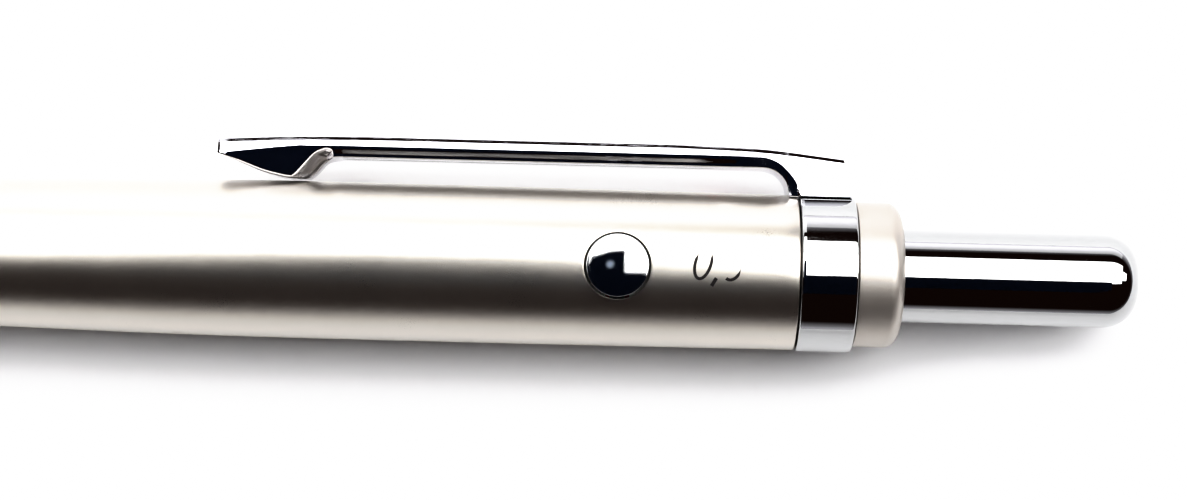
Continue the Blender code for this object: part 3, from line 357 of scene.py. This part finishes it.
def clip_sections(place):
    """Clip's closed cross-sections at shares of its length, as (station, height, side) points. A section
    stands on the lower line of the clip and reaches the upper line. Its flank leans out from the lower edge
    to a ridge and back in to the upper edge, and its corners are rounded. The ridge runs below the upper line
    and turns down at the base along a circle. Along the strip the middle of the flank is a steeper facet, and
    the base sits in a saddle that follows the ring. Behind an S-shaped line on the foot the flank falls away
    by 0.85 of the distance past that line."""
    top_line = rounded([(CLIP_START, 7.93), (83.0, 8.2), (88.0, 8.3), (110.0, 8.3), (115.4, 8.13),
                        (CLIP_TOP_END, 7.58)], [0, 2.5, 3, 6, 3, 0])
    low_line = rounded([(CLIP_START, 6.97), (81.3, 5.76), (82.9, 5.42), (84.2, 5.42), (84.8, 5.85),
                        (85.4, 6.6), (86.1, 6.88), (114.7, 6.88)], [0, 0.8, 0.4, 0.25, 0.35, 0.35, 0.5, 0])
    bend = np.linspace(math.pi / 2, math.asin(0.19 / BEND_INNER), 14)
    root = np.stack([BEND_STATION + BEND_INNER * np.cos(bend), BEND_HEIGHT + BEND_INNER * np.sin(bend)], -1)
    low_line = np.concatenate([low_line, root, [[117.2, 5.27], [117.3, 5.4], [CLIP_LOW_END, 5.4]]])
    top_station = CLIP_START + (CLIP_TOP_END - CLIP_START) * place
    low_station = CLIP_START + (CLIP_LOW_END - CLIP_START) * place
    top = np.interp(top_station, top_line[:, 0], top_line[:, 1])
    low = np.interp(low_station, low_line[:, 0], low_line[:, 1])
    tall = top - low

    past_bend = np.maximum(low_station - BEND_STATION, 0)
    turn_down = BEND_HEIGHT + np.sqrt(np.maximum(BEND_OUTER ** 2 - past_bend ** 2, 0))
    band = 0.52 + 0.42 * fade(84.6 - top_station, 6)
    ridge = np.clip(np.minimum(top - band, turn_down) - low, 0.04, None)
    rest = tall - ridge
    half = CLIP_HALF_WIDTH * (1 - 0.1 * np.maximum(0, 1 - (low_station - CLIP_START) / 0.8) ** 2)
    lean = np.minimum(0.13 * ridge, 0.17)
    inset = np.minimum(0.17 * rest, 0.3)
    right = np.stack([np.stack([half - lean, np.zeros_like(half)], -1),
                      np.stack([half, ridge], -1),
                      np.stack([half - inset, tall - 0.25], -1),
                      np.stack([half - inset - 0.12, tall], -1)], axis=1)
    left = right[:, ::-1] * [-1, 1]
    foot = 0.1 + 0.2 * fade(86 - low_station, 1)[:, None]
    upper_radii = np.tile([0.06, 0.02, 0.03, 0.03, 0.02, 0.06], (len(foot), 1))
    outline = rounded(np.concatenate([right, left], 1), np.hstack([foot, upper_radii, foot]))

    count = outline.shape[1] // 8
    inner_shares = np.linspace(0, 1, 16)[1:-1, None]
    beneath = outline[:, -1:] + inner_shares * (outline[:, :1] - outline[:, -1:])
    flank_low, flank_high = outline[:, None, count - 1], outline[:, None, count]
    flank = flank_low + inner_shares * (flank_high - flank_low)
    outline = np.concatenate([outline[:, :count], flank, outline[:, count:-count],
                              flank[:, ::-1] * [-1, 1], outline[:, -count:], beneath], 1)
    side, rise = outline[..., 0], outline[..., 1]
    facet = np.interp(rise / ridge[:, None], [0, 0.30, 0.70, 1], [0.21, 0.20, 0.03, 0])
    facet = facet * fade(low_station - 85.6, 1.2)[:, None] * fade(114.6 - low_station, 4)[:, None]
    side = side - np.sign(side) * facet

    share = rise / tall[:, None]
    station = low_station[:, None] * (1 - share) + top_station[:, None] * share
    height = low[:, None] + rise
    saddle = np.sqrt(5.38 ** 2 - side ** 2) - 5.38
    height = height + saddle * fade(5.9 - height, 0.5) * fade(station - 116.0, 0.4)
    edge = np.interp(height, [5.4, 5.8, 6.4, 6.9, 7.5], [83.15, 83.5, 84.0, 84.45, 85.1])
    fall = 0.85 * np.clip(station - edge, 0, 1.6) * fade(7.5 - height, 0.5) * fade(86.0 - station, 0.5)
    return np.stack([station, height, side - np.sign(side) * np.minimum(fall, 0.9 * np.abs(side))], -1)


def make_clip():
    """Spring clip from its cross-sections, closed at each end by sections that draw in to their middle."""
    steps = np.concatenate([np.linspace(0, 0.03, 12), np.linspace(0.033, 0.1, 22),
                            np.linspace(0.102, 0.2, 98), np.linspace(0.21, 0.86, 60),
                            np.linspace(0.863, 0.93, 46), np.linspace(0.932, 1, 20)])
    sections = clip_sections(steps)
    ends = []
    for section, side in ((sections[0], -1), (sections[-1], 1)):
        middle = section.mean(0)
        inset = 1 - np.array([0.03, 0.1, 0.25, 1.0])[:, None, None]
        bulge = np.array([0.04, 0.07, 0.08, 0.08])[:, None] * side
        rows = middle + (section - middle) * inset
        rows[..., 0] += bulge - np.abs(bulge[-1]) * side
        ends.append(rows)
    sections = np.concatenate([ends[0][::-1], sections, ends[1]])
    points = sections + [NOSE_X, AXIS_Y, AXIS_Z]
    faces = grid_faces(points.shape[0], points.shape[1], False, True)
    return piece("clip_strip", points, faces, "clip_chrome", "clip_body", ["clip"])


def ribbon(stroke, closed, half_width, painted_highlight_side):
    """Printed stroke: a flat box section carried along a line of (station, side) points, laid on the rear
    barrel, where the height at a side y is the root of the radius squared less y squared. The stroke narrows
    round its last given side, from its full width below it to a tenth above it: painted highlight, the print
    thinned towards the clip's side, where the highlight falls."""
    stroke = np.asarray(stroke, float)
    if closed:
        heading = np.roll(stroke, -1, 0) - np.roll(stroke, 1, 0)
    else:
        heading = np.gradient(stroke, axis=0)
    heading /= np.linalg.norm(heading, axis=1)[:, None]
    normal = np.stack([-heading[:, 1], heading[:, 0]], -1)
    corner = np.array([(-1, -0.02), (-1, 0.006), (1, 0.006), (1, -0.02)])
    width = half_width * np.clip(0.5 + (painted_highlight_side - stroke[:, 1]) / 0.4, 0.1, 1)
    flat = stroke[:, None] + normal[:, None] * width[:, None, None] * corner[None, :, :1]
    height = np.sqrt(rear_radius(flat[..., 0]) ** 2 - flat[..., 1] ** 2) + corner[None, :, 1]
    points = np.stack([NOSE_X + flat[..., 0], AXIS_Y + flat[..., 1], AXIS_Z + height], -1)
    if not closed:
        points = np.concatenate([points[:1].mean(1, keepdims=True).repeat(4, 1), points,
                                 points[-1:].mean(1, keepdims=True).repeat(4, 1)])
    return points, grid_faces(len(points), 4, closed, True)


def make_mark():
    """Lead mark 0,5 as thin slanted strokes: an oval, a short tail and an open hook, each from its own
    formula. The print is real; the thinning of the upper parts of the 0 and the 5 is painted highlight."""
    turn = np.linspace(0, TURN, 72, endpoint=False)
    zero = np.stack([0.52 * np.cos(turn), 1.03 + 1.03 * np.sin(turn)], -1)
    tail = np.stack([np.linspace(0.06, -0.13, 8), np.linspace(0.1, -0.42, 8)], -1)
    bowl = np.linspace(math.radians(140), math.radians(-122), 40)
    hook = np.stack([0.52 * np.cos(bowl), 0.66 + 0.66 * np.sin(bowl)], -1)
    five = np.concatenate([[(0.52, 2.06), (0.1, 2.06), (-0.3, 2.06), (-0.36, 1.6), (-0.41, 1.2)], hook])
    slant = np.array([[1, 0], [math.tan(math.radians(12)), 1]])
    # The last number of each stroke is the side past which it thins: painted highlight on the clip's side.
    strokes = [(zero @ slant + [110.65, -0.73], True, 0.1, 0.75),
               (tail @ slant + [111.66, -0.76], False, 0.115, 3.0),
               (five @ slant + [112.63, -0.76], False, 0.1, -0.25)]
    points, faces, count = [], [], 0
    for stroke, closed, half_width, painted_highlight_side in strokes:
        stroke_points, stroke_faces = ribbon(stroke, closed, half_width, painted_highlight_side)
        points.append(stroke_points.reshape(-1, 3))
        faces.append(stroke_faces + count)
        count += len(points[-1])
    return piece("lead_mark", np.concatenate(points), np.concatenate(faces), "mark_ink", "rear_section", ())


def make_dot(label, azimuth, material):
    """Colour dot on the barrel: a thin round cap whose points lie at the barrel's radius plus a low crown."""
    radius = np.array([0, 0.3, 0.6, 0.72, 0.78, 0.78])[:, None]
    rise = np.array([0.02, 0.02, 0.018, 0.012, 0.004, -0.03])[:, None]
    turn = np.arange(48) * TURN / 48
    station = RELEASE_STATION + 6.5 + radius * np.cos(turn)
    side = radius * np.sin(turn)
    surface = rear_radius(station) + rise
    points = on_pen(station, surface, azimuth + side / surface)
    base = points[-1:].mean(1, keepdims=True).repeat(48, 1)
    points = np.concatenate([points, base])
    return piece(f"{label}_dot", points, grid_faces(len(points), 48, False, True), material, "rear_section",
                 ())


def make_outer_pieces():
    """Nose cone, barrels, clip ring, end ring and push button."""
    share = np.array([0, 0.12, 0.28, 0.48, 0.7, 1.0]) * NOSE_END
    radius = NOSE_RADIUS + (FRONT_RADIUS - NOSE_RADIUS) * np.array([0, 0.22, 0.45, 0.66, 0.83, 1.0])
    fine = np.linspace(0, NOSE_END, 40)
    smooth = np.polynomial.Polynomial.fit(share, radius, 4)(fine)
    cone = np.stack([fine, smooth], -1)
    spigot = [(NOSE_END, 3.85), (20.0, 3.85), (20.0, 3.4), (14.0, 3.4), (11.0, 3.3), (3.3, 2.45),
              (0.3, 1.4), (0, 1.4)]
    corners = np.concatenate([cone, spigot])
    radii = np.zeros(len(corners))
    radii[[0, 39]] = 0.18
    radii[40:] = [0.05, 0.1, 0.05, 0.5, 0.5, 0.3, 0.05, 0.1]
    turned("nose_shell", corners, radii, "chrome", "front_section", ["nose_cone"])

    fine = np.linspace(FRONT_START, FRONT_END, 48)
    corners = np.concatenate([np.stack([fine, front_radius(fine)], -1),
                              [(FRONT_END, BORE_RADIUS), (54.9, BORE_RADIUS), (54.9, 3.9),
                               (FRONT_START, 3.9)]])
    radii = np.zeros(len(corners))
    radii[[0, 47]] = 0.1
    radii[48:] = 0.05
    turned("front_tube", corners, radii, "satin", "front_section", ["front_barrel"])

    window = 3.0
    stations = np.concatenate([
        np.linspace(REAR_START + 0.08, RELEASE_STATION - window - 0.6, 40),
        np.linspace(RELEASE_STATION - window, RELEASE_STATION + window, 33),
        np.linspace(RELEASE_STATION + window + 0.6, REAR_END - 0.1, 10)])
    pierced_tube("rear_tube", stations, rear_radius, BORE_RADIUS, 0.1,
                 (RELEASE_STATION, MARK_AZIMUTH, RELEASE_HOLE, RELEASE_HOLE, 2, 0.06, window), "satin",
                 "rear_section", ["rear_barrel"])

    window = 1.45
    middle = RING_END - 0.8 - 0.75
    edge = 0.14
    stations = np.concatenate([[RING_START + edge, RING_START + 0.3],
                               np.linspace(middle - window, middle + window, 19), [RING_END - edge]])
    stations = np.unique(np.clip(stations, RING_START + edge, RING_END - edge))
    pierced_tube("ring_band", stations, lambda s: np.full(np.shape(s), RING_RADIUS), RING_BORE, edge,
                 (middle, CLIP_AZIMUTH, 0.9, 1.15, 6, 0.03, window), "chrome", "rear_section", ["clip_ring"])

    bend = np.linspace(0, math.pi / 2, 14)
    shoulder = np.stack([CAP_END - 1.0 + 1.0 * np.sin(bend), CAP_RADIUS - 1.3 + 1.3 * np.cos(bend)], -1)
    corners = np.concatenate([[(CAP_START, CAP_RADIUS)], shoulder,
                              [(CAP_END, 3.25), (CAP_END - 1.0, 3.25), (CAP_END - 1.0, RING_BORE),
                               (CAP_START, RING_BORE)]])
    radii = np.zeros(len(corners))
    radii[[0, 15, 16, 17, 18]] = [0.06, 0.1, 0.05, 0.05, 0.05]
    turned("end_cap_ring", corners, radii, "satin_cap", "rear_section", ["end_ring"])

    bend = np.linspace(0, math.pi / 2, 18)
    dome = np.stack([BUTTON_END - 2.2 + 2.2 * np.sin(bend), 1.26 + 1.89 * np.cos(bend)], -1)
    boss = [(137.25, 0), (137.25, 0.75), (133.9, 0.75), (133.9, 1.5), (136.5, 1.5)]
    lip = [(120.0, BUTTON_RADIUS), (122.1, BUTTON_RADIUS), (122.1, BUTTON_LIP_RADIUS),
           (123.1, BUTTON_LIP_RADIUS), (123.1, BUTTON_RADIUS)]
    corners = np.concatenate([boss, [(136.5, BUTTON_BORE), (120.0, BUTTON_BORE)], lip, dome,
                              [(BUTTON_END, 0)]])
    radii = np.zeros(len(corners))
    radii[1:12] = 0.05
    radii[-2] = 0.3
    turned("button_cap", corners, radii, "chrome", "button_body", ["push_button"], closed=False)


def make_release_button():
    """Release button: a shallow dome, part of a ball, with a rounded rim, turned about the mark's direction.
    A point is (radius cos t, radius sin t, height) about the button's own axis."""
    top, ball = 5.97, 8
    dome_radius = np.linspace(0, 1.91, 24)
    dome = np.stack([dome_radius, top - (ball - np.sqrt(ball ** 2 - dome_radius ** 2))], -1)
    edge = [(2.05, 5.71), (2.05, 5.2), (2.05, 4.3), (0.25, 4.3), (0.25, 3.9), (0, 3.9)]
    corners = np.concatenate([dome, edge])
    radii = np.zeros(len(corners))
    radii[23:29] = [0.1, 0.1, 0.1, 0.1, 0.03, 0.05]
    profile = rounded(corners, radii)
    turn = np.arange(160) * TURN / 160
    radius, height = np.maximum(profile[:, 0, None], 0), profile[:, 1, None]
    points = np.stack(np.broadcast_arrays(NOSE_X + RELEASE_STATION + radius * np.cos(turn),
                                          AXIS_Y + radius * np.sin(turn), AXIS_Z + height), -1)
    return piece("release_dome", points, grid_faces(len(profile), 160, False, True), "dome_chrome",
                 "release_body", ["release_button"])


def system_offset(label):
    """Shift of a writing system's axis from the pen's axis, across and up."""
    return SYSTEM_OFFSET * math.cos(SYSTEMS[label]), SYSTEM_OFFSET * math.sin(SYSTEMS[label])


def make_refills():
    """Ballpoint refills and the pencil unit as turned pieces on their own offset axes. Their front ends are a
    little slimmer, so that a system that leans to the nose clears the two that stay back."""
    for label in ("black", "red"):
        offset = system_offset(label)
        body = f"{label}_refill_body"
        turned(f"{label}_ink_tube", [(11.05, REFILL_NECK), (22.0, REFILL_NECK), (28.0, REFILL_RADIUS),
                                     (REFILL_END, REFILL_RADIUS), (REFILL_END, REFILL_BORE),
                                     (11.05, REFILL_BORE)], 0.06,
               f"{label}_plastic", body, [f"refill_tube_{label}"], segments=64, offset=offset)
        share = np.array([0.0, 0.38, 0.4, 0.72, 0.76, 1.0]) * 6.5 + 4.5
        radius = 0.5 + (REFILL_NECK - 0.5) * np.array([0, 0.2, 0.3, 0.5, 0.68, 1.0])
        socket = [(5.27, 0), (5.27, 0.38), (4.72, 0.38), (4.72, 0.5)]
        tail = [(11.0, 0.75), (14.0, 0.75), (14.0, 0)]
        turned(f"{label}_point", np.concatenate([socket, np.stack([share, radius], -1)[1:], tail]), 0.04,
               "brass", body, [f"refill_tip_{label}"], segments=64, offset=offset, closed=False)
    offset = system_offset("pencil")
    turned("pencil_point", [(4.5, 0.4), (7.1, 0.4), (7.15, 0.57), (9.33, 0.8), (11.0, 1.04),
                            (16.0, REFILL_NECK), (16.0, 0.93), (19.0, 0.93), (19.0, REFILL_BORE),
                            (16.0, REFILL_BORE), (16.0, 0.9), (11.0, 0.9), (11.0, 0.3), (4.5, 0.3)], 0.04,
           "steel", "pencil_body", ["pencil_cone"], segments=64, offset=offset)
    turned("pencil_body_tube", [(16.05, REFILL_NECK), (22.0, REFILL_NECK), (28.0, REFILL_RADIUS),
                                (REFILL_END, REFILL_RADIUS), (REFILL_END, REFILL_BORE), (19.05, REFILL_BORE),
                                (19.05, 0.96), (16.05, 0.96)], 0.04,
           "brass", "pencil_body", ["pencil_tube"], segments=64, offset=offset)


def coil(name, start, end, radius, wire, turns, offset, body, node):
    """Compression spring as one unbroken tube. Its middle line is (station, radius cos t, radius sin t), with
    the station growing evenly with t, and the wire is a ring round that line."""
    around = 10
    t = np.linspace(0, turns * TURN, turns * 40 + 1)
    station = np.linspace(start + wire, end - wire, len(t))
    ring = np.arange(around) * TURN / around
    out = radius + wire * np.cos(ring)
    points = on_pen(station[:, None] + wire * np.sin(ring), out[None, :], t[:, None]) + [0, *offset]
    tips = [rim.mean(1, keepdims=True).repeat(around, 1) for rim in (points[:1], points[-1:])]
    points = np.concatenate([tips[0], points, tips[1]])
    obj = piece(name, points, grid_faces(len(points), around, False, True), "steel", body, [node])
    anchor = on_pen(start, 0, 0) * MM
    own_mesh(obj)


def make_springs():
    """Push button's spring, the slides' return springs and the pencil's spring."""
    coil("button_coil", 112.72, 121.99, 3.385, 0.14, 6, (0, 0), "rear_section", "button_spring")
    for label in SYSTEMS:
        coil(f"{label}_return_coil", 57.38, 71.69, 1.48, 0.12, 8, system_offset(label), "rear_section",
             f"return_spring_{label}")
    coil("pencil_coil", 13.67, 18.93, 0.6, 0.08, 7, system_offset("pencil"), "pencil_body", "pencil_spring")


make_outer_pieces()
make_release_button()
make_clip()
make_mark()
make_dot("black", math.radians(210), "mark_ink")
make_dot("red", math.radians(330), "red_ink")
make_refills()
make_springs()

# CAD nodes that stay, each with its procedural finish
NODE_FINISH = {
    "coupling_sleeve": "brass", "spring_seat": "guide_plastic", "guide_body": "guide_plastic",
    # The rear collar's near-black brass is painted shade for the seam in front of the clip ring.
    "rear_guide": "guide_plastic", "rear_collar": "seam_shade_brass", "pendulum_pin": "steel", "pendulum": "brass",
    "catch_ring": "steel", "slide_pencil": "steel", "slide_black": "black_plastic",
    "slide_red": "red_plastic", "pencil_chuck": "brass", "chuck_ring": "brass",
    "lead_tube": "guide_plastic", "lead": "lead",
}
for node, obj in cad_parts.items():
    if not obj.hide_render:
        obj.data.materials.clear()
        obj.data.materials.append(FINISHES[NODE_FINISH.get(node, "steel")])


# ---------------------------------------------------------------- floor, light and camera

def floor():
    """Plain pale sheet that the pen lies on."""
    mesh = bpy.data.meshes.new("floor")
    size = 1.5
    corners = [(-size, -size, 0), (size, -size, 0), (size, size, 0), (-size, size, 0)]
    mesh.from_pydata(corners, [], [(0, 1, 2, 3)])
    obj = bpy.data.objects.new("floor", mesh)
    bpy.context.scene.collection.objects.link(obj)
    mesh.materials.append(finish("floor_sheet", (0.84, 0.84, 0.85), 0.0, 0.85, 900, 0.01, 0.05))


def panel(name, first, last, distance, near_x, far_x, radiance):
    """Long soft light that fills the angles from first to last, in degrees from overhead towards the clip as
    seen from the pen, and the given stretch along the pen. Its power is radiance times its rectangle's area
    times pi."""
    spread = math.radians(last - first) / 2
    data = bpy.data.lights.new(name, "AREA")
    data.shape = "RECTANGLE"
    data.size = far_x - near_x
    data.size_y = 2 * distance * math.tan(spread)
    data.energy = radiance * data.size * data.size_y * math.pi
    obj = bpy.data.objects.new(name, data)
    bpy.context.scene.collection.objects.link(obj)
    tilt = math.radians(first + last) / 2
    obj.location = ((near_x + far_x) / 2, AXIS_Y * MM + distance * math.sin(tilt),
                    AXIS_Z * MM + distance * math.cos(tilt))
    obj.rotation_euler = (-tilt, 0, 0)


def horizon(bright, dark):
    """Surroundings that are pale along the horizon and dark above: a ramp over the height of the direction,
    less a seventh of how far it leans to the clip's side, where the pale rim stands higher, plus a quarter of
    how far it leans along the pen, where the rim is lower."""
    world = bpy.data.worlds.new("studio")
    world.use_nodes = True
    nodes, links = world.node_tree.nodes, world.node_tree.links
    place = nodes.new("ShaderNodeTexCoord")
    lean = nodes.new("ShaderNodeVectorMath")
    lean.operation = "DOT_PRODUCT"
    lean.inputs[1].default_value = (0, -0.14, 1)
    ramp = nodes.new("ShaderNodeValToRGB")
    links.new(place.outputs["Generated"], lean.inputs[0])
    split = nodes.new("ShaderNodeSeparateXYZ")
    links.new(place.outputs["Generated"], split.inputs["Vector"])
    along = nodes.new("ShaderNodeMath")
    along.operation = "ABSOLUTE"
    links.new(split.outputs["X"], along.inputs[0])
    level = nodes.new("ShaderNodeMath")
    level.operation = "MULTIPLY_ADD"
    level.inputs[1].default_value = 0.25
    links.new(along.outputs["Value"], level.inputs[0])
    links.new(lean.outputs["Value"], level.inputs[2])
    links.new(level.outputs["Value"], ramp.inputs["Fac"])
    ramp.color_ramp.elements[0].position = 0.02
    ramp.color_ramp.elements[0].color = (*bright, 1)
    ramp.color_ramp.elements[1].position = 0.39
    ramp.color_ramp.elements[1].color = (*dark, 1)
    middle = ramp.color_ramp.elements.new(0.25)
    middle.color = (*[0.27 * b for b in bright], 1)
    links.new(ramp.outputs["Color"], nodes["Background"].inputs["Color"])
    bpy.context.scene.world = world


def cards():
    """Dark card above the camera, with a step at its right and a slanted corner at its left, and a small grey
    disc just below it, both flat. The release button's dome mirrors them."""
    card = [(-0.048, -0.09), (0.11, -0.09), (0.11, -0.014), (0.053, -0.014), (0.053, 0.041), (0.015, 0.038),
            (-0.035, 0.024), (-0.048, 0.0)]
    turn = np.arange(48) * TURN / 48
    disc_radius = 0.009
    disc = np.stack([0.0163 + disc_radius * np.cos(turn), 0.0045 + disc_radius * np.sin(turn)], -1)
    for name, outline, height, colour in (("dark_card", card, 0.152, (0.005, 0.008, 0.018)),
                                          ("grey_disc", disc, 0.1505, (0.50, 0.56, 0.64))):
        mesh = bpy.data.meshes.new(name)
        mesh.from_pydata([(x, y, height) for x, y in outline], [], [tuple(range(len(outline)))])
        material = finish(name, colour, 0.0, 0.9, 900)
        material.node_tree.nodes["Principled BSDF"].inputs["Specular IOR Level"].default_value = 0
        mesh.materials.append(material)
        obj = bpy.data.objects.new(name, mesh)
        bpy.context.scene.collection.objects.link(obj)


def studio():
    """Soft panels from just past overhead to half way down on the clip's side, two low ones there near the
    horizon, the pale horizon itself, the cards and the view's contrast curve."""
    horizon((1.24, 1.21, 1.27), (0.018, 0.007, 0.005))
    panel("edge_panel", -8.5, 0, 0.75, -0.6, 0.8, 3.4)
    panel("main_panel", 0, 28, 0.7, -0.8, 1.3, 4.6)
    panel("side_panel_nose", 27, 52, 0.7, -0.8, 0.1, 2.8)
    panel("side_panel_rear", 27, 46, 0.7, 0.1, 0.8, 3.4)
    panel("low_panel_nose", 59, 86, 0.7, -0.7, 0.1, 1.2)
    panel("low_panel_rear", 68, 86, 0.7, 0.1, 0.7, 0.5)
    cards()
    view = bpy.context.scene.view_settings
    view.view_transform = "Standard"
    view.use_curve_mapping = True
    curve = view.curve_mapping.curves[3]
    view.curve_mapping.extend = "HORIZONTAL"
    for level, shown in ((0.06, 0.031), (0.2, 0.17), (0.5, 0.6), (0.85, 1.0)):
        curve.points.new(level, shown).handle_type = "AUTO_CLAMPED"
    view.curve_mapping.update()


def camera():
    """Camera nearly straight overhead, turned by 1.53 degrees about the view, leaning by 1.1 degrees towards
    the button and by 2.4 degrees away from the clip."""
    target = Vector((0.0336, -0.00032, 0.00532))
    distance = 0.142
    picture_width, focal_pixels = 1187, 2100
    roll = math.radians(1.53)
    back = Vector((math.tan(math.radians(1.1)), -math.tan(math.radians(2.4)), 1)).normalized()
    right = Vector((math.cos(roll), math.sin(roll), 0))
    right = (right - back * right.dot(back)).normalized()
    up = back.cross(right)
    data = bpy.data.cameras.new("camera")
    data.sensor_width = 36
    data.lens = focal_pixels / picture_width * data.sensor_width
    data.clip_start = 0.005
    obj = bpy.data.objects.new("camera", data)
    bpy.context.scene.collection.objects.link(obj)
    turn = Matrix((right, up, back)).transposed()
    obj.matrix_world = Matrix.Translation(target + back * distance) @ turn.to_4x4()
    bpy.context.scene.camera = obj


floor()
studio()
camera()
